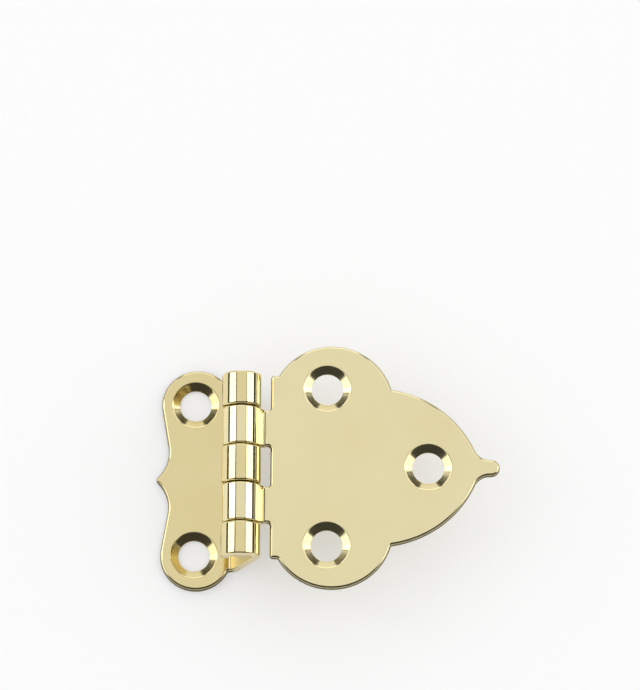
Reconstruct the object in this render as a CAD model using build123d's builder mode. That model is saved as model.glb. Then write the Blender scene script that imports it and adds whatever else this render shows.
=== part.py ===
from build123d import *
from math import acos, atan2, cos, degrees, radians, sin, sqrt
import os

# Offset cabinet hinge, half butterfly frame leaf and trefoil door leaf, rolled on one pin.
# Millimetres. Origin: middle of the frame leaf's screw line on its back face.
# +X points to the door leaf, +Y runs along the pin, +Z comes out of the cabinet's face.

# Sheet, pin and fits
frame_sheet = 1.27
door_sheet = 1.1
pin_diameter = 3.4
pin_clearance = 0.06
knuckle_gap = 0.12
edge_radius = 0.45

# Offset between the two leaves' back faces, and where the pin lies
leaf_offset = 9.525
door_drop = 0.2
pin_from_screws = 7.35

# Barrel, measured along the pin
middle_knuckle = 5.9
door_knuckle = 6.2
end_knuckle = 5.3
pin_recess = 0.35
pin_end_bevel = 0.25
knuckle_edge = 0.2

# Frame leaf
frame_screw_spacing = 24.0
frame_lobe_radius = 5.55
frame_lobe_shift = 0.3
frame_cusp_reach = 6.1
frame_waist_reach = 3.75
frame_waist_height = 2.85
frame_waist_radius = 5.6
web_angle = 69.5
web_bend_radius = 0.4
web_slot_room = 0.45
frame_curl_end = 200.0

# Door leaf
door_screw_spacing = 24.75
door_screw_reach = 13.2
door_tip_screw_reach = 28.8
door_shoulder = 1.22
door_lobe_height = 9.7
door_lobe_radius = 9.5
door_flank_depth = 4.3
door_flank_radius = 16.8
door_notch_radius = 0.5
door_neck_radius = 2.6
door_finger = 0.2
door_tip_reach = 39.8
door_tip_width = 2.6
door_edge_reach = 4.5
door_crease_reach = 3.46
door_tab_relief = 0.3
door_slot_corner = 0.6
door_curl_end = 330.0

# Countersunk screw holes, the same in both leaves
screw_hole = 4.9
screw_head = 7.5
screw_head_angle = 110.0

# Places worked out from the sizes above
bore_radius = pin_diameter / 2 + pin_clearance
frame_roll = bore_radius + frame_sheet
door_roll = bore_radius + door_sheet
pin_height = leaf_offset + door_sheet + door_drop
barrel_half = middle_knuckle / 2 + door_knuckle + end_knuckle
door_knuckle_centre = (middle_knuckle + door_knuckle) / 2
pin_plane = Plane(origin=(pin_from_screws, 0, pin_height), x_dir=(1, 0, 0), z_dir=(0, -1, 0))


def tangent_point(centre, radius, point, side):
    """Where the line from a point touches a circle, on its left (+1) or right (-1) side."""
    dx, dy = point[0] - centre[0], point[1] - centre[1]
    turn = atan2(dy, dx) + side * acos(radius / sqrt(dx * dx + dy * dy))
    return (centre[0] + radius * cos(turn), centre[1] + radius * sin(turn))


def circles_meet(centre_a, radius_a, centre_b, radius_b, side):
    """Where two circles cross, on the left (+1) or right (-1) of the line from a to b."""
    dx, dy = centre_b[0] - centre_a[0], centre_b[1] - centre_a[1]
    gap = sqrt(dx * dx + dy * dy)
    along = (gap * gap + radius_a * radius_a - radius_b * radius_b) / (2 * gap)
    off = side * sqrt(radius_a * radius_a - along * along)
    return (
        centre_a[0] + (along * dx - off * dy) / gap,
        centre_a[1] + (along * dy + off * dx) / gap,
    )


def on_circle(centre, radius, start, end):
    """Point half-way round the shorter arc from start to end."""
    mx = (start[0] + end[0]) / 2 - centre[0]
    my = (start[1] + end[1]) / 2 - centre[1]
    reach = radius / sqrt(mx * mx + my * my)
    return (centre[0] + mx * reach, centre[1] + my * reach)


def on_roll(rim, roll):
    """True for an end rim of a knuckle rolled to this outside radius."""
    return abs(rim.radius - roll) < 1e-4 and abs(rim.arc_center.Z - pin_height) < 1e-4


def is_polished(rim):
    """True for an edge of the door plate's outline beyond its straight side along the barrel."""
    return rim.center().X > pin_from_screws + door_edge_reach + 1e-4


# Frame leaf: lobed plate, steep web and three knuckles, all one sheet
bend_height = frame_sheet - pin_height + web_bend_radius
bend_reach = bore_radius - web_bend_radius + bend_height * cos(radians(web_angle))
bend_centre = (bend_reach / sin(radians(web_angle)), bend_height)
neck_reach = pin_from_screws + bend_centre[0]
frame_lobe = (frame_lobe_shift, frame_screw_spacing / 2)
lobe_reach = sqrt(frame_lobe_radius**2 - (barrel_half - frame_lobe[1]) ** 2)
lobe_end = (frame_lobe[0] + lobe_reach, barrel_half)
frame_waist = (-frame_waist_reach, frame_waist_height)
lobe_touch = tangent_point(frame_lobe, frame_lobe_radius, frame_waist, -1)
frame_wrap = frame_curl_end + 90 - web_angle
slot_foot = sqrt((door_roll + web_slot_room) ** 2 - bore_radius**2)
slot_plane = Plane(
    origin=pin_plane.origin,
    x_dir=(0, 1, 0),
    z_dir=(sin(radians(web_angle)), 0, -cos(radians(web_angle))),
)

with BuildPart() as frame_leaf:
    with BuildSketch() as frame_outline:
        with BuildLine():
            Polyline((neck_reach, 0), (-frame_cusp_reach, 0), frame_waist, lobe_touch)
            ThreePointArc(lobe_touch, (frame_lobe[0], frame_lobe[1] + frame_lobe_radius), lobe_end)
            Polyline(lobe_end, (neck_reach, barrel_half), (neck_reach, 0))
        make_face()
        fillet(frame_outline.vertices().sort_by_distance(frame_waist)[:1], frame_waist_radius)
        mirror(about=Plane.XZ)
    extrude(amount=frame_sheet)
    fillet(frame_leaf.faces().sort_by(Axis.Z)[-1].edges().sort_by(Axis.X)[:-1], edge_radius)
    with BuildSketch(pin_plane):
        with BuildLine():
            outer_bend = CenterArc(bend_centre, web_bend_radius + frame_sheet, -90, web_angle)
            inner_bend = CenterArc(bend_centre, web_bend_radius, -90, web_angle)
            outer_roll = CenterArc((0, 0), frame_roll, web_angle - 90, frame_wrap)
            inner_roll = CenterArc((0, 0), bore_radius, web_angle - 90, frame_wrap)
            Line(outer_bend @ 1, outer_roll @ 0)
            Line(outer_roll @ 1, inner_roll @ 1)
            Line(inner_roll @ 0, inner_bend @ 1)
            Line(inner_bend @ 0, outer_bend @ 0)
        make_face()
    extrude(amount=barrel_half, both=True)
    with BuildSketch(slot_plane):
        with Locations((-door_knuckle_centre, 0), (door_knuckle_centre, 0)):
            Rectangle(door_knuckle + knuckle_gap, slot_foot, align=(Align.CENTER, Align.MAX))
            Rectangle(door_knuckle + knuckle_gap, 2 * frame_roll, align=(Align.CENTER, Align.MIN))
    extrude(amount=2 * frame_roll, both=True, mode=Mode.SUBTRACT)
    frame_rims = frame_leaf.edges().filter_by(GeomType.CIRCLE)
    chamfer(frame_rims.filter_by(lambda rim: on_roll(rim, frame_roll)), knuckle_edge)
    with Locations((0, -frame_lobe[1], frame_sheet), (0, frame_lobe[1], frame_sheet)):
        CounterSinkHole(screw_hole / 2, screw_head / 2, frame_sheet, screw_head_angle)

# Door leaf: trefoil plate with an ogee finger, two tabs rolled into knuckles, all one sheet
door_plane = Plane(origin=(pin_from_screws, 0, leaf_offset))
tab_low = door_knuckle_centre - door_knuckle / 2 + door_tab_relief
tab_high = door_knuckle_centre + door_knuckle / 2 - door_tab_relief
finger_half = door_tip_width / 2
neck_x = door_tip_reach - finger_half - door_finger
neck_centre = (neck_x, finger_half + door_neck_radius)
flank_rise = door_flank_depth + neck_centre[1]
flank_run = sqrt((door_flank_radius + door_neck_radius) ** 2 - flank_rise**2)
flank_centre = (neck_x - flank_run, -door_flank_depth)
flank_share = door_flank_radius / (door_flank_radius + door_neck_radius)
neck_start = (flank_centre[0] + flank_run * flank_share, flank_centre[1] + flank_rise * flank_share)
neck_end = (neck_x, finger_half)
neck_middle = on_circle(neck_centre, door_neck_radius, neck_start, neck_end)
finger_end = (neck_x + door_finger, finger_half)
shoulder_end = (door_edge_reach + door_shoulder, barrel_half)
lobe_run = sqrt(door_lobe_radius**2 - (barrel_half - door_lobe_height) ** 2)
door_lobe = (shoulder_end[0] + lobe_run, door_lobe_height)
notch = circles_meet(door_lobe, door_lobe_radius, flank_centre, door_flank_radius, 1)
crease = (door_crease_reach, -door_drop)
roll_touch = tangent_point((0, 0), door_roll, crease, 1)
touch_angle = degrees(atan2(roll_touch[1], roll_touch[0]))
door_wrap = door_curl_end - touch_angle

with BuildPart() as door_leaf:
    with BuildSketch(door_plane) as door_outline:
        with BuildLine():
            Polyline(
                (door_tip_reach, 0),
                (door_edge_reach, 0),
                (door_edge_reach, tab_low),
                (door_crease_reach, tab_low),
                (door_crease_reach, tab_high),
                (door_edge_reach, tab_high),
                (door_edge_reach, barrel_half),
                shoulder_end,
            )
            ThreePointArc(shoulder_end, on_circle(door_lobe, door_lobe_radius, shoulder_end, notch), notch)
            ThreePointArc(notch, on_circle(flank_centre, door_flank_radius, notch, neck_start), neck_start)
            ThreePointArc(neck_start, neck_middle, neck_end)
            Line(neck_end, finger_end)
            CenterArc((finger_end[0], 0), finger_half, 0, 90)
        make_face()
        fillet(door_outline.vertices().sort_by_distance((door_edge_reach, tab_low))[:1], door_slot_corner)
        fillet(door_outline.vertices().sort_by_distance((door_edge_reach, tab_high))[:1], door_slot_corner)
        fillet(door_outline.vertices().sort_by_distance(notch)[:1], door_notch_radius)
        mirror(about=Plane.XZ)
    extrude(amount=door_sheet)
    fillet(door_leaf.faces().sort_by(Axis.Z)[-1].edges().filter_by(is_polished), edge_radius)
    with BuildSketch(pin_plane.offset(door_knuckle_centre), pin_plane.offset(-door_knuckle_centre)):
        with BuildLine():
            under_bend = CenterArc(crease, door_sheet, -90, touch_angle - 90)
            door_outer = CenterArc((0, 0), door_roll, touch_angle, door_wrap)
            door_inner = CenterArc((0, 0), bore_radius, touch_angle, door_wrap)
            Line(crease, door_outer @ 0)
            Line(door_outer @ 1, door_inner @ 1)
            Line(door_inner @ 0, under_bend @ 1)
            Line(under_bend @ 0, crease)
        make_face()
    extrude(amount=(door_knuckle - knuckle_gap) / 2, both=True)
    door_rims = door_leaf.edges().filter_by(GeomType.CIRCLE)
    chamfer(door_rims.filter_by(lambda rim: on_roll(rim, door_roll)), knuckle_edge)
    with Locations(door_plane.offset(door_sheet)):
        with Locations(
            (door_screw_reach, -door_screw_spacing / 2),
            (door_screw_reach, door_screw_spacing / 2),
            (door_tip_screw_reach, 0),
        ):
            CounterSinkHole(screw_hole / 2, screw_head / 2, door_sheet, screw_head_angle)

# Pin through the five knuckles
with BuildPart(pin_plane) as hinge_pin:
    Cylinder(pin_diameter / 2, 2 * (barrel_half - pin_recess))
    chamfer(hinge_pin.edges().filter_by(GeomType.CIRCLE), pin_end_bevel)

frame_leaf.part.label = "frame_leaf"
door_leaf.part.label = "door_leaf"
hinge_pin.part.label = "hinge_pin"

os.makedirs("parts", exist_ok=True)
export_step(frame_leaf.part, "parts/frame_leaf.step")
export_step(door_leaf.part, "parts/door_leaf.step")
export_step(hinge_pin.part, "parts/hinge_pin.step")
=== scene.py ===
# %% [markdown]
# # An offset cabinet hinge in polished brass
# The CAD model is the fixed frame: it says where each leaf and the pin are.
# This notebook builds what the eye sees: two stamped sheets with polished edges, rolled round one pin.

# %% Load the frame
import bpy
import numpy as np
from mathutils import Matrix, Vector
from mathutils.geometry import delaunay_2d_cdt


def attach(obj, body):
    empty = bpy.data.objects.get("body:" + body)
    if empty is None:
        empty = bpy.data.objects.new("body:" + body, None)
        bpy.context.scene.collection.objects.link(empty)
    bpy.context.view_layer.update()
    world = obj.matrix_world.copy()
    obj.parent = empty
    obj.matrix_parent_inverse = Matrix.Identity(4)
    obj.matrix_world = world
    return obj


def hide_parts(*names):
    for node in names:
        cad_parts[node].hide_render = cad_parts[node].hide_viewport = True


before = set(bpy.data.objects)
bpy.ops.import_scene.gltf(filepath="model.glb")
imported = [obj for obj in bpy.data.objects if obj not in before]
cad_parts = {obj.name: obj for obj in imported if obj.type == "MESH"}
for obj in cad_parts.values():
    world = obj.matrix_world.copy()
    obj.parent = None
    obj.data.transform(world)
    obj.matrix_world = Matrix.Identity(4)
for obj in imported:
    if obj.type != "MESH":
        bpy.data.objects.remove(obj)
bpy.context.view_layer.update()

# %% [markdown]
# ## Sizes
# These are the CAD model's own sizes, in millimetres, because a drawing is easier to read that way.
# Every mesh is divided by 1000 at the very end, since Blender works in metres here.

# %% Sizes in millimetres
PIN = np.array([7.35, 10.825])
PIN_RADIUS, BORE, BARREL = 1.70, 1.76, 14.45
FRAME_SHEET, DOOR_SHEET, DOOR_BACK = 1.27, 1.10, 9.525
MIDDLE, KNUCKLE, GAP = 5.9, 6.2, 0.12
LIP, LIP_RADIUS, HOLE, SEAT_SLOPE = 3.65, 0.8, 2.45, 35.0
RIM, BURR, KNUCKLE_CORNER = 0.52, 0.13, 0.2
EASE, SKIN = 0.35, 0.01
print("barrel", 2 * BARREL, "mm long, leaves offset by", DOOR_BACK, "mm")

# %% [markdown]
# ## Outlines from arcs
# A stamped outline is a chain of arcs with straight runs between them.
# An arc that turns left bulges out of the sheet, and one that turns right is a hollow corner.
# Each point carries its outward normal, so a polished edge can later be rolled over the outline.

# %% Arc, corner and chain
def arc(x, y, r, start, end):
    """Rows of (point, outward normal): p = c + r (cos a, sin a), n = sign(end - start) (cos a, sin a)."""
    count = 3 + int(abs(end - start) / 4 + r * abs(np.radians(end - start)) / 0.4)
    a = np.radians(np.linspace(start, end, count))
    ring = np.stack([np.cos(a), np.sin(a)], 1)
    return np.hstack([(x, y) + r * ring, np.sign(end - start) * ring])


def corner(x, y, heading, turn, r):
    """The arc of radius r that rounds a corner where a straight run changes heading by turn degrees."""
    h, side = np.radians(heading), np.sign(turn)
    back = r * np.tan(np.radians(abs(turn)) / 2)
    x, y = x - back * np.cos(h) - side * r * np.sin(h), y - back * np.sin(h) + side * r * np.cos(h)
    return arc(x, y, r, heading - 90 * side, heading - 90 * side + turn)


def flip(arcs):
    """The same chain on the other side of the middle line, walked the other way."""
    return [a[::-1] * (1, -1, 1, -1) for a in reversed(arcs)]


def chain(arcs, step=0.25):
    """Close a list of arcs into one outline, with a point at least every step along the straight runs."""
    rows = []
    for here, after in zip(arcs, arcs[1:] + arcs[:1]):
        t = np.linspace(0, 1, 2 + int(np.hypot(*(after[0] - here[-1])[:2]) / step))[1:-1, None]
        rows += [here, here[-1] + t * (after[0] - here[-1])]
    line = np.vstack(rows)
    return line[np.hypot(*(line - np.roll(line, 1, 0))[:, :2].T) > 1e-3]


def bearing(a, b):
    """Heading in degrees from point a to point b."""
    return np.degrees(np.arctan2(b[1] - a[1], b[0] - a[0]))


def meet(a, ra, b, rb):
    """The crossing of two circles on the left of the line from a to b."""
    a, d = np.array(a), np.subtract(b, a)
    gap = np.hypot(*d)
    along = (gap * gap + ra * ra - rb * rb) / (2 * gap)
    return a + (along * d + np.sqrt(ra * ra - along * along) * np.array([-d[1], d[0]])) / gap


# %% [markdown]
# ## From flat blank to rolled leaf
# A real leaf is punched flat and then rolled. The mesh is made the same way.
# First comes a flat blank: two flats, a rounded rim and countersunk holes.
# Then every point is carried along a path of straight and circular pieces.

# %% Rim and seat
def faces_of(rows, cols):
    """Quads of a rows x cols grid that closes on itself along its columns."""
    i, j = np.meshgrid(np.arange(rows - 1), np.arange(cols), indexing="ij")
    k = (j + 1) % cols
    return np.stack([i * cols + j, i * cols + k, (i + 1) * cols + k, (i + 1) * cols + j], -1).reshape(-1, 4)


def rim(outline, sheet, top, low):
    """Rounded rim: inset = r (1 - cos f), height = sheet - r (1 - sin f), for the top and the back edge."""
    f = np.radians(np.linspace(90, 0, 9))
    g = np.radians(np.linspace(0, -90, 6))
    angle = np.concatenate([f, g])[:, None]
    r = np.where(np.arange(len(angle))[:, None] < len(f), top[None], low[None])
    inset = r * (1 - np.cos(angle))
    z = np.where(angle >= 0, sheet, 0) - r * (np.sign(angle) - np.sin(angle))
    z[len(f) - 1], z[len(f)] = sheet - top, low
    flat = outline[None, :, :2] - inset[..., None] * outline[None, :, 2:]
    normal = np.concatenate([np.cos(angle)[..., None] * outline[None, :, 2:],
                             np.broadcast_to(np.sin(angle), z.shape)[..., None]], -1)
    return np.concatenate([flat, z[..., None]], -1), normal


def seat(x, y, sheet):
    """Countersunk hole: a rounded profile of (radius, height) turned about the hole's axis."""
    depth = (LIP - HOLE) * np.tan(np.radians(SEAT_SLOPE))
    line = np.vstack([
        corner(LIP, sheet, 180, SEAT_SLOPE, LIP_RADIUS),
        corner(HOLE, sheet - depth, 180 + SEAT_SLOPE, 90 - SEAT_SLOPE, 0.06),
        corner(HOLE, 0, 270, 90, 0.1),
    ])
    a = np.radians(np.arange(0, 360, 3.0))
    turn = np.stack([np.cos(a), np.sin(a)], 1)
    level = np.ones((len(a), 1))
    point = np.concatenate([(x, y) + line[:, None, :1] * turn, line[:, None, 1:2] * level], -1)
    normal = np.concatenate([line[:, None, 2:3] * turn, line[:, None, 3:] * level], -1)
    return point, normal


# %% [markdown]
# The two flats fill what is left between the rim and the seats.
# Blender's own triangulator is used for them, because it keeps the edges of the rim and the holes.

# %% Blank
def flat_between(loops, z, inside):
    """Triangles between closed loops, with free points inside so that the flat can be rolled later."""
    edges, first = [], 0
    for loop in loops:
        at = np.arange(len(loop))
        edges.append(np.stack([first + at, first + (at + 1) % len(loop)], 1))
        first += len(loop)
    flat = np.vstack([*loops, inside])
    made = delaunay_2d_cdt(flat.tolist(), np.vstack(edges).tolist(), [], 2, 1e-7)
    point, faces = np.array(made[0]), np.array(made[2])
    middle = point[faces].mean(1)
    for loop in loops[1:]:
        hub = loop.mean(0)
        keep = np.hypot(*(middle - hub).T) > np.hypot(*(loop[0] - hub))
        faces, middle = faces[keep], middle[keep]
    return np.column_stack([point, np.full(len(point), z)]), faces


def blank(outline, sheet, top, low, rim_wear_and_shade, holes, inside):
    """Points, normals, quads, triangles, edge mark and turning of a flat sheet; the fifth argument scales the
    edge mark on its rim. The edge mark stands for raw sheared metal and for painted shade.
    """
    parts = [(*rim(outline, sheet, top, low), 0.0)] + [(*seat(x, y, sheet), 1.0) for x, y in holes]
    points, normals, quads, wear, turning, first = [], [], [], [], [], 0
    for point, normal, seat_mark in parts:
        rows, cols = point.shape[:2]
        points.append(point.reshape(-1, 3))
        normals.append(normal.reshape(-1, 3))
        quads.append(first + faces_of(rows, cols))
        # Edge mark: grows as the surface turns sideways and is painted dark by the material, partly as raw
        # sheared metal and partly as painted shade; hole walls get half of it.
        wear.append(((1 - np.abs(normal[..., 2])) * (0.5 if seat_mark else rim_wear_and_shade)).ravel())
        turning.append(seat_mark * (np.arange(rows * cols) // cols % (rows - 1) > 0))
        first += rows * cols
    triangles = []
    for side, ring in ((1, 0), (-1, -1)):
        point, faces = flat_between([p[0][ring, :, :2] for p in parts], sheet if side > 0 else 0.0, inside)
        points.append(point)
        normals.append(np.tile((0.0, 0.0, side), (len(point), 1)))
        wear.append(np.zeros(len(point)))
        turning.append(np.zeros(len(point)))
        triangles.append(first + faces)
        first += len(point)
    return [np.vstack(points), np.vstack(normals), np.vstack(quads), np.vstack(triangles),
            np.concatenate(wear), np.concatenate(turning)]


# %% [markdown]
# Rolling keeps the sheet's thickness: a point stays at its height above the middle of the sheet.
# The path's heading grows evenly along each piece, so one interpolation gives straight runs and arcs alike.

# %% Roll
def roll(point, normal, start, way, pieces, sheet):
    """p = c(s) + h (-sin psi, cos psi), where c is the integral of (cos psi, sin psi) along the path."""
    lengths, turns = np.array(pieces).T
    knots, angles = np.append(0, np.cumsum(lengths)), np.radians(np.append(0, np.cumsum(turns)))
    s = np.linspace(0, knots[-1], 6001)
    psi = np.interp(s, knots, angles)
    mid = (psi[1:] + psi[:-1]) / 2
    c = np.vstack([np.zeros(2), np.cumsum(np.stack([np.cos(mid), np.sin(mid)], 1) * s[1], 0)])
    u, h = way * (point[:, 0] - start), point[:, 2] - sheet / 2
    a = np.interp(u, s, psi)
    along = np.interp(u, s, c[:, 0]) + np.minimum(u, 0)
    rise = np.interp(u, s, c[:, 1])
    across = way * normal[:, 0]
    moved = [start + way * (along - h * np.sin(a)), point[:, 1], sheet / 2 + rise + h * np.cos(a)]
    turned = [way * (across * np.cos(a) - normal[:, 2] * np.sin(a)), normal[:, 1],
              across * np.sin(a) + normal[:, 2] * np.cos(a)]
    return np.stack(moved, 1), np.stack(turned, 1)


# %% [markdown]
# The last helper welds the parts of a mesh, turns every face outwards and hands Blender the exact normals.
# With exact normals a flat stays a flat mirror, and a rolled knuckle shows no facets.

# %% Mesh from arrays
def outward(faces, point, normal):
    """Flip the faces whose winding disagrees with the normals of their corners."""
    a, b, c = (point[faces[:, k]] for k in (0, 1, -1))
    wrong = np.einsum("ij,ij->i", np.cross(b - a, c - a), normal[faces].sum(1)) < 0
    faces[wrong] = faces[wrong][:, ::-1]
    return faces


def build(name, point, normal, quads, triangles, **marks):
    """Object at the origin, in metres, with custom normals and one float attribute for each mark."""
    key, index, back = np.unique(np.round(point, 5), axis=0, return_index=True, return_inverse=True)
    back = back.ravel()
    total = np.zeros_like(key)
    np.add.at(total, back, normal)
    normal = total / np.maximum(np.linalg.norm(total, axis=1, keepdims=True), 1e-9)
    quads, triangles = outward(back[quads], key, normal), outward(back[triangles], key, normal)
    mesh = bpy.data.meshes.new(name)
    mesh.from_pydata((key / 1000).tolist(), [], quads.tolist() + triangles.tolist())
    mesh.validate()
    mesh.polygons.foreach_set("use_smooth", np.ones(len(mesh.polygons), bool))
    mesh.normals_split_custom_set_from_vertices(normal.tolist())
    for mark, value in marks.items():
        mesh.attributes.new(mark, "FLOAT", "POINT").data.foreach_set("value", value[index].astype(np.float32))
    made = bpy.data.objects.new(name, mesh)
    bpy.context.scene.collection.objects.link(made)
    print(name, len(mesh.vertices), "points", len(mesh.polygons), "faces")
    return made


# %% [markdown]
# ## Frame leaf
# The half butterfly: two round lobes, two hollow waists and a cusp between them.
# Its sheet turns up into a steep web, and three fingers of it roll over the pin.

# %% Frame leaf bends
web_angle, curl, bend, slot_room = 69.5, 220.5, 0.4, 0.45
slope = np.radians(web_angle)
bend_z = FRAME_SHEET - PIN[1] + bend
bend_x = (BORE - bend + bend_z * np.cos(slope)) / np.sin(slope)
neck = PIN[0] + bend_x
foot = BORE * np.array([np.sin(slope), -np.cos(slope)])
web = np.hypot(*(foot - (bend_x + bend * np.sin(slope), bend_z - bend * np.cos(slope))))
slot_foot = np.sqrt((BORE + DOOR_SHEET + slot_room) ** 2 - BORE ** 2)
frame_path = [
    ((bend + FRAME_SHEET / 2) * slope, web_angle),
    (web, 0),
    ((BORE + FRAME_SHEET / 2) * np.radians(curl), curl),
]
roll_start = neck + frame_path[0][0] + web
finger_end, slot_end = roll_start + frame_path[2][0], roll_start - slot_foot
print("web", round(web, 2), "mm, fingers end", round(finger_end, 2), "mm along the blank")

# %% Frame leaf outline
frame_screw = 12.0
lobe, lobe_r = (0.3, frame_screw), 5.55
waist, waist_r = (-3.75, 2.85), 5.6
cusp, cusp_r, cusp_rim = (-6.1, 0.0), 0.45, 0.36
root_r, slot_r = 0.4, 0.3
touch = bearing(lobe, waist) - np.degrees(np.arccos(lobe_r / np.hypot(*np.subtract(waist, lobe)))) + 360
tip_heading = bearing(waist, cusp) + 360
root_y = BARREL + root_r
root = np.array([lobe[0] + np.sqrt((lobe_r + root_r) ** 2 - (root_y - lobe[1]) ** 2), root_y])
low_side, high_side = (MIDDLE - GAP) / 2, MIDDLE / 2 + KNUCKLE + GAP / 2
frame_half = [
    corner(finger_end, low_side, 90, 90, KNUCKLE_CORNER),
    corner(slot_end, low_side, 180, -90, slot_r),
    corner(slot_end, high_side, 90, -90, slot_r),
    corner(finger_end, high_side, 0, 90, KNUCKLE_CORNER),
    corner(finger_end, BARREL, 90, 90, KNUCKLE_CORNER),
    arc(*root, root_r, -90, bearing(root, lobe)),
    arc(*lobe, lobe_r, bearing(lobe, root), touch),
    corner(*waist, touch + 90, tip_heading - touch - 90, waist_r),
]
cusp_arc = corner(*cusp, tip_heading, 2 * (270 - tip_heading), cusp_r)
frame_line = chain(frame_half + [cusp_arc] + flip(frame_half), 0.15)
print("frame leaf outline", len(frame_line), "points")

# %% [markdown]
# The rim is widest where the buffing wheel passes, and thins out along the fingers and at the cusp.
# Free points in rows let the flat follow the roll.

# %% Frame leaf mesh
lanes, steps = np.arange(-13.5, 13.6, 1.5), np.arange(neck, finger_end - 0.3, 0.1)
across, along = np.meshgrid(lanes, steps, indexing="ij")
inside = np.column_stack([along.ravel(), across.ravel()])
free = np.abs(np.abs(inside[:, 1]) - (low_side + high_side) / 2) > (high_side - low_side) / 2 + 0.35
inside = inside[free | (inside[:, 0] < slot_end - 0.4)]
top = np.interp(frame_line[:, 0], [neck, neck + 2.0], [RIM, 0.14])
top = np.minimum(top, cusp_rim + EASE * np.hypot(*(frame_line[:, :2] - cusp).T))
low = np.interp(frame_line[:, 0], [roll_start - 1, roll_start], [BURR, 0.35])
# Share of the dark edge colour on the rim, partly raw metal and partly painted shade: full on the leaf, a
# third on the web and fingers.
rim_wear_and_shade = np.interp(frame_line[:, 0], [neck, neck + 1.0], [1.0, 0.3])
frame_holes = [(0, -frame_screw), (0, frame_screw)]
frame_flat = blank(frame_line, FRAME_SHEET, top, low, rim_wear_and_shade, frame_holes, inside)
point, normal = roll(*frame_flat[:2], neck, 1, frame_path, FRAME_SHEET)
flat = frame_flat[0]
dull = (flat[:, 2] > FRAME_SHEET - SKIN) * np.clip((flat[:, 0] - neck) / 0.6, 0, 1)
frame_leaf = build("frame_leaf_brass", point, normal, *frame_flat[2:4],
                   wear=frame_flat[4], turned=frame_flat[5], dull=dull)

# %% [markdown]
# ## Door leaf
# The trefoil: two large lobes with a notch behind each, long flanks and an ogee neck that ends in a finger.
# Two tabs leave its straight side, kink upwards at a crease and roll over the pin from above.

# %% Door leaf lobes and tabs
edge, shoulder, shoulder_rim, door_r, lobe_y = 4.5, 1.22, 0.38, 9.5, 9.7
door_lobe = np.array([edge + shoulder + np.sqrt(door_r ** 2 - (BARREL - lobe_y) ** 2), lobe_y])
finger, finger_run, neck_r, flank_r, flank_y, tip = 1.3, 0.2, 2.6, 16.8, -4.3, 39.8
notch_r, ear_r, tab_corner = 0.35, 0.45, 0.5
neck_c = np.array([tip - finger - finger_run, finger + neck_r])
flank_c = np.array([neck_c[0] - np.sqrt((flank_r + neck_r) ** 2 - (neck_c[1] - flank_y) ** 2), flank_y])
notch = meet(door_lobe, door_r + notch_r, flank_c, flank_r + notch_r)
ear_y = BARREL + notch_r
ear = np.array([door_lobe[0] - np.sqrt((door_r + notch_r) ** 2 - (ear_y - lobe_y) ** 2), ear_y])
crease, kink_r, curl_end = np.array([3.46, -0.2]), 0.12, 330
roll_r = BORE + DOOR_SHEET
lift = bearing((0, 0), crease) + np.degrees(np.arccos(roll_r / np.hypot(*crease)))
kink = 90 - lift
reach = kink_r * np.tan(np.radians(kink) / 2)
run = np.sqrt(crease @ crease - roll_r ** 2) - reach
door_path = [((kink_r + DOOR_SHEET / 2) * np.radians(kink), kink), (run, 0),
             ((BORE + DOOR_SHEET / 2) * np.radians(curl_end - lift), lift - curl_end)]
strip_end = crease[0] + reach - sum(p[0] for p in door_path)
print("tabs kink up by", round(kink, 1), "degrees and end", round(strip_end, 2), "mm along the blank")

# %% Door leaf outline
inner, outer = MIDDLE / 2 + GAP / 2, MIDDLE / 2 + KNUCKLE - GAP / 2
relief, flare_from, flare_to = 0.24, 3.9, 2.9
narrow_in, narrow_out = inner + relief, outer - relief
widen = bearing((flare_from, narrow_out), (flare_to, outer)) - 180
door_half = [
    arc(*neck_c, neck_r, -90, bearing(neck_c, flank_c)),
    arc(*flank_c, flank_r, bearing(flank_c, neck_c), bearing(flank_c, notch)),
    arc(*notch, notch_r, bearing(notch, flank_c), bearing(notch, door_lobe)),
    arc(*door_lobe, door_r, bearing(door_lobe, notch), bearing(door_lobe, ear)),
    arc(*ear, notch_r, bearing(ear, door_lobe), -90),
    corner(edge, BARREL, 180, 90, ear_r),
    corner(edge, narrow_out, 270, -90, tab_corner),
    corner(flare_from, narrow_out, 180, widen, tab_corner),
    corner(flare_to, outer, 180 + widen, -widen, tab_corner),
    corner(strip_end, outer, 180, 90, KNUCKLE_CORNER),
    corner(strip_end, inner, 270, 90, KNUCKLE_CORNER),
    corner(flare_to, inner, 0, -widen, tab_corner),
    corner(flare_from, narrow_in, -widen, widen, tab_corner),
    corner(edge, narrow_in, 0, -90, tab_corner),
]
door_line = chain([arc(tip - finger, 0, finger, -90, 90)] + door_half + flip(door_half), 0.15)
print("door leaf outline", len(door_line), "points")

# %% [markdown]
# The mesh gets its rim and its free points as before, and painted shade, a dark line, in the crease of each
# tab.

# %% Door leaf mesh
lanes, steps = np.arange(inner + 0.6, outer - 0.4, 0.9), np.arange(strip_end + 0.3, crease[0] + 0.3, 0.1)
across, along = np.meshgrid(lanes, steps, indexing="ij")
inside = np.column_stack([along.ravel(), across.ravel()])
inside = np.vstack([inside, inside * (1, -1)])
top = np.interp(door_line[:, 0], [3.6, 4.6], [0.35, RIM])
top = np.minimum(top, shoulder_rim + EASE * np.hypot(*(np.abs(door_line[:, :2]) - (edge, BARREL)).T))
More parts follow.
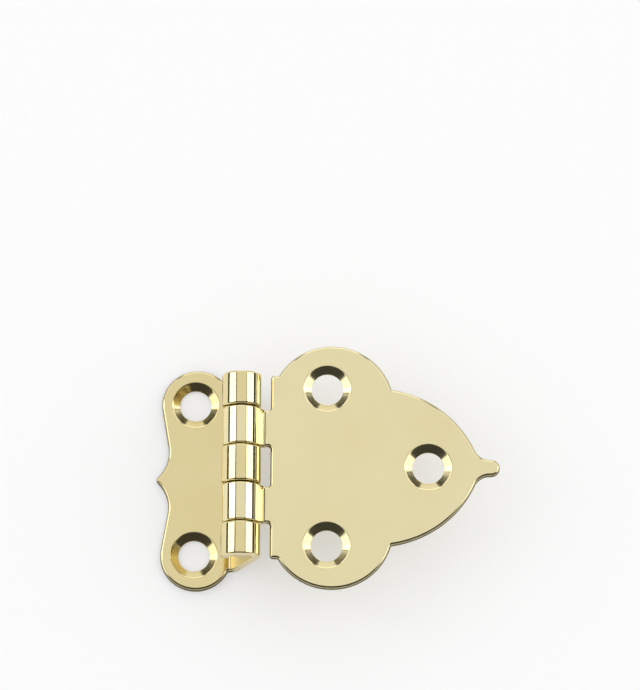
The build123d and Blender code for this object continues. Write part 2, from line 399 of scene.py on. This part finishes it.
# Share of the dark edge colour on the rim, partly raw metal and partly painted shade: a third on the tabs,
# full on the leaf.
rim_wear_and_shade = np.interp(door_line[:, 0], [3.6, 4.4], [0.3, 1.0])
low = np.full(len(top), BURR)
door_holes = [(13.2, -12.375), (13.2, 12.375), (28.8, 0)]
door_flat = blank(door_line, DOOR_SHEET, top, low, rim_wear_and_shade, door_holes, inside)
flat = door_flat[0]
tab = np.abs(np.abs(flat[:, 1]) - (inner + outer) / 2) < (outer - inner) / 2 - 0.2
tab &= flat[:, 2] > DOOR_SHEET - SKIN
# Painted shade: the crease of each tab gets the dark edge colour through the edge mark.
painted_crease_shade = tab * np.exp(-((flat[:, 0] - crease[0] - kink_r) / kink_r) ** 2)
door_flat[4] = np.maximum(door_flat[4], painted_crease_shade)
point, normal = roll(*door_flat[:2], crease[0] + reach, -1, door_path, DOOR_SHEET)
point = point + (PIN[0], 0, DOOR_BACK)
door_leaf = build("door_leaf_brass", point, normal, *door_flat[2:4],
                  wear=door_flat[4], turned=door_flat[5])

# %% [markdown]
# ## Pin
# A drawn rod, cropped and lightly domed at both ends, which show in the barrel's end rings.

# %% Pin
inset, end_r, dome, dome_tilt = 0.35, 0.3, 0.06, 0.09
half, face_r = BARREL - inset, PIN_RADIUS - end_r
profile = np.vstack([arc(face_r, half - end_r, end_r, 90, 0), arc(face_r, end_r - half, end_r, 0, -90)])
profile[:, 2:] = np.abs(profile[:, 2:]) * np.sign(profile[:, :2])
radii = np.linspace(0.02, face_r, 8)[:, None]
share = radii / face_r
cap = np.hstack([radii, half + dome * (1 - share ** 2), dome_tilt * share, np.ones_like(radii)])
profile = np.vstack([cap[:-1], profile, cap[-2::-1] * (1, -1, 1, -1)])
a = np.radians(np.arange(0, 360, 4.0))
ring = np.stack([np.cos(a), np.sin(a)], 1)
radius, height, tilt, rise = (np.repeat(column[:, None], len(a), 1) for column in profile.T)
point = np.stack([PIN[0] + radius * ring[:, 0], height, PIN[1] + radius * ring[:, 1]], -1)
normal = np.stack([tilt * ring[:, 0], rise, tilt * ring[:, 1]], -1)
fan = np.stack([np.zeros(len(a), int), np.arange(len(a)), np.roll(np.arange(len(a)), -1)], 1)
tips = point.reshape(-1, 3)[[0, -1]] * (0, 1, 0) + (PIN[0], 0, PIN[1])
count = point.shape[0] * len(a)
last = count - len(a)
fans = np.vstack([fan + (count, 0, 0), fan + (count + 1, last, last)])
point = np.vstack([point.reshape(-1, 3), tips])
normal = np.vstack([normal.reshape(-1, 3), [(0, 1, 0), (0, -1, 0)]])
# The pin's side and the rounding of its ends take the edge mark, painted dark as raw metal and as painted
# shade.
pin = build("hinge_pin_brass", point, normal, faces_of(len(profile), len(a)), fans,
            wear=1 - np.abs(normal[:, 1]), turned=np.abs(normal[:, 1]))

# %% [markdown]
# ## Ride and replace
# Each piece rides on a CAD body and stands for one CAD node, so the joint carries it along.

# %% Ride and replace
for piece, node, body, slot in (
    (frame_leaf, "frame_leaf", "frame", "frame_brass"),
    (door_leaf, "door_leaf", "door", "door_brass"),
    (pin, "hinge_pin", "frame", "pin_brass"),
):
    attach(piece, body)
    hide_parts(node)
    print(piece.name, "rides on", body)

# %% [markdown]
# ## Shader arithmetic
# A small class wraps one socket of a shader tree, so that a material reads like a formula.

# %% Socket class
class Socket:
    """One output of a shader tree. Arithmetic makes Math nodes, and node() makes any other."""

    def __init__(self, tree, out=None):
        self.tree, self.out = tree, out

    def node(self, kind, out=0, settings=(), **inputs):
        made = self.tree.nodes.new("ShaderNode" + kind)
        for name, value in dict(settings).items():
            setattr(made, name, value)
        for name, value in inputs.items():
            numbered = name.startswith("in") and name[2:].isdigit()
            socket = made.inputs[int(name[2:]) if numbered else name.replace("_", " ")]
            if isinstance(value, Socket):
                self.tree.links.new(value.out, socket)
            else:
                socket.default_value = value
        return Socket(self.tree, made.outputs[out] if made.outputs else None)

    def math(self, kind, other=0.0):
        return self.node("Math", settings={"operation": kind}, in0=self, in1=other)

    def blend(self, first, second):
        return self.node("Mix", out=2, settings={"data_type": "RGBA"}, Factor=self, in6=first, in7=second)

    def __add__(self, other):
        return self.math("ADD", other)

    def __sub__(self, other):
        return self.math("SUBTRACT", other)

    def __rsub__(self, other):
        return self * -1.0 + other

    def __mul__(self, other):
        return self.math("MULTIPLY", other)

    __radd__, __rmul__ = __add__, __mul__


def tree_of(name):
    """A new material and its empty tree."""
    made = bpy.data.materials.new(name)
    made.use_nodes = True
    made.node_tree.nodes.clear()
    return made, Socket(made.node_tree)


# %% [markdown]
# ## Brass
# Pale lacquered brass: a slow drift of tint, fine buffing lines and warmer, turned screw seats.
# The sheared edges and hole walls get a dark colour that is partly raw sheared metal and partly painted shade
# for the dark room they reflect; the tab creases get the same dark colour as painted shade. The web is duller
# because no buffing wheel reaches it.

# %% Brass
# Dark colour of the sheared edges: raw metal, and also painted shade for the dark room these edges reflect.
SHEARED_AND_SHADED = (0.12, 0.10, 0.038, 1)


def brass(name, pale, warm, rough):
    """Polished brass whose buffing lines follow the leaf, with marks read from the mesh's own attributes."""
    made, t = tree_of(name)
    place = t.node("TexCoord", out="Object")
    wear = t.node("Attribute", out="Fac", settings={"attribute_name": "wear"})
    turned = t.node("Attribute", out="Fac", settings={"attribute_name": "turned"})
    dull = t.node("Attribute", out="Fac", settings={"attribute_name": "dull"})
    drift = t.node("TexNoise", Vector=place, Scale=90.0, Detail=3.0, Roughness=0.55)
    cloud = t.node("TexNoise", Vector=place, Scale=420.0, Detail=5.0, Roughness=0.6)
    lines = t.node("Mapping", Vector=place, Scale=(900.0, 16000.0, 900.0))
    buff = t.node("TexNoise", Vector=lines, Scale=1.0, Detail=4.0, Roughness=0.6)
    grain = t.node("TexNoise", Vector=place, Scale=9000.0, Detail=2.0)
    # Steep surfaces, hole walls and tab creases turn warmer and then dark through the edge mark: part raw
    # sheared metal, part painted shade.
    share = (drift - 0.5) * 1.1 + (cloud - 0.5) * 0.25 + wear * 0.22 + turned * 0.3 + 0.28
    sheared_and_shaded = t.node("Clamp", Value=(wear - 0.3) * 3.0 + (cloud - 0.5) * 0.4)
    tint = sheared_and_shaded.blend(share.blend((*pale, 1), (*warm, 1)), SHEARED_AND_SHADED)
    shine = (cloud - 0.5) * 0.05 + (buff - 0.5) * 0.05 + turned * 0.07 + dull * 0.35 + sheared_and_shaded * 0.4 + rough
    height = buff * 0.35 + grain * 0.12 + drift * 1.6
    bump = t.node("Bump", Strength=0.05, Distance=0.00005, Height=height)
    skin = t.node("BsdfPrincipled", Base_Color=tint, Metallic=1.0, Roughness=shine,
                  Coat_Weight=(1.0 - sheared_and_shaded) * ((cloud - 0.4) * 0.2 + 0.1), Coat_Roughness=0.04, Normal=bump)
    t.node("OutputMaterial", Surface=skin)
    return made


frame_leaf.data.materials.append(brass("frame_brass", (0.850, 0.740, 0.405), (0.79, 0.65, 0.31), 0.09))
door_leaf.data.materials.append(brass("door_brass", (0.900, 0.812, 0.492), (0.85, 0.73, 0.40), 0.09))
pin.data.materials.append(brass("pin_brass", (0.78, 0.65, 0.34), (0.66, 0.50, 0.22), 0.22))
print("materials:", [m.name for m in bpy.data.materials])

# %% [markdown]
# ## Stage
# The hinge lies on white card. A broad panel hangs overhead and lights the flats at a plain level.
# A bright strip on each side puts the two white bands on the barrel, and softer cards stand round them.
# The camera's side stays dark above a dim horizon, so the near edges and the seats get their dark lines.

# %% Panels
def panel(name, aim, distance, width, height, level):
    """A glowing card of this radiance, facing the hinge from the direction (zenith angle, azimuth) aim."""
    z, a = np.radians(aim)
    back = Vector((np.sin(z) * np.sin(a), np.sin(z) * np.cos(a), np.cos(z)))
    x, y = width / 2, height / 2
    mesh = bpy.data.meshes.new(name)
    turn = back.to_track_quat("Z", "Y").to_matrix()
    corners = [turn @ Vector(p) + back * distance for p in ((-x, -y, 0), (x, -y, 0), (x, y, 0), (-x, y, 0))]
    mesh.from_pydata(corners, [], [(0, 1, 2, 3)])
    made, t = tree_of(name)
    glow = t.node("Emission", Color=(1, 1, 1, 1), Strength=level)
    t.node("OutputMaterial", Surface=glow)
    mesh.materials.append(made)
    card = bpy.data.objects.new(name, mesh)
    bpy.context.scene.collection.objects.link(card)
    card.visible_camera = False


panel("card_over", (14, 0), 2.2, 2.3, 2.6, 0.855)
panel("strip_left", (56, 288), 2.2, 0.5, 1.55, 2.3)
panel("strip_right", (54, 72), 2.2, 0.5, 1.6, 2.3)
panel("card_left", (56, 266), 2.3, 1.35, 1.6, 1.5)
panel("card_right", (54, 94), 2.3, 1.35, 1.65, 1.5)
panel("card_back", (60, 0), 2.4, 1.7, 1.1, 1.35)
panel("card_back_low", (82, 0), 2.4, 1.7, 0.7, 0.95)
panel("card_far_left", (56, 314), 2.4, 1.35, 1.55, 1.1)
panel("card_far_right", (56, 46), 2.4, 1.35, 1.55, 1.1)
for name, side in (("card_low_left", 225), ("card_low_front", 180), ("card_low_right", 135)):
    panel(name, (80, side), 2.4, 1.9, 0.8, 0.35)

# %% Floor
w, floor_drop = 4, 0.00002
floor_mesh = bpy.data.meshes.new("floor")
floor_mesh.from_pydata([(-w, -w, 0), (w, -w, 0), (w, w, 0), (-w, w, 0)], [], [(0, 1, 2, 3)])
floor = bpy.data.objects.new("floor", floor_mesh)
bpy.context.scene.collection.objects.link(floor)
floor.location.z = -floor_drop
paper, t = tree_of("white_card")
matt = t.node("BsdfDiffuse", Color=(0.94, 0.94, 0.94, 1))
glow = t.node("Emission", Color=(1, 1, 1, 1), Strength=0.98)
seen = t.node("LightPath", out="Is Camera Ray") * 0.4
t.node("OutputMaterial", Surface=t.node("MixShader", Fac=seen, in1=matt, in2=glow))
floor_mesh.materials.append(paper)
print("floor", 2 * w, "m wide")

# %% [markdown]
# The room is bright for everything but mirror reflections, so little but the panels shows in the brass.

# %% Room
world = bpy.data.worlds.new("room")
world.use_nodes = True
world.node_tree.nodes.clear()
t = Socket(world.node_tree)
dusk, day = (t.node("Background", Color=(1, 1, 1, 1), Strength=level) for level in (0.05, 0.85))
mirror = t.node("LightPath", out="Is Glossy Ray")
t.node("OutputWorld", Surface=t.node("MixShader", Fac=mirror, in1=day, in2=dusk))
bpy.context.scene.world = world
bpy.context.scene.view_settings.view_transform = "Standard"

# %% [markdown]
# ## Camera
# A long lens looks down steeply from the near side, so that almost no perspective shows.

# %% Camera
lens = bpy.data.cameras.new("camera")
sensor, focal_pixels, picture_height = 36.0, 5000, 690
lens.sensor_width, lens.lens = sensor, sensor * focal_pixels / picture_height
camera = bpy.data.objects.new("camera", lens)
bpy.context.scene.collection.objects.link(camera)
bpy.context.scene.camera = camera
steep, tilt, distance, aim_right, aim_up = np.radians(75), np.radians(0.35), 0.769, 12.015, 18.63
right, up = Vector((1, 0, 0)), Vector((0, np.sin(steep), np.cos(steep)))
back = right.cross(up)
middle = Vector((PIN[0], 0, PIN[1])) / 1000
centre = middle + (right * aim_right + up * aim_up) / 1000
turn = Matrix((right, up, back)).transposed() @ Matrix.Rotation(tilt, 3, "Z")
camera.matrix_world = Matrix.LocRotScale(centre + back * distance, turn.to_quaternion(), None)
lens.clip_start, lens.clip_end = 0.05, 20
print("camera at", [round(x, 3) for x in camera.location])
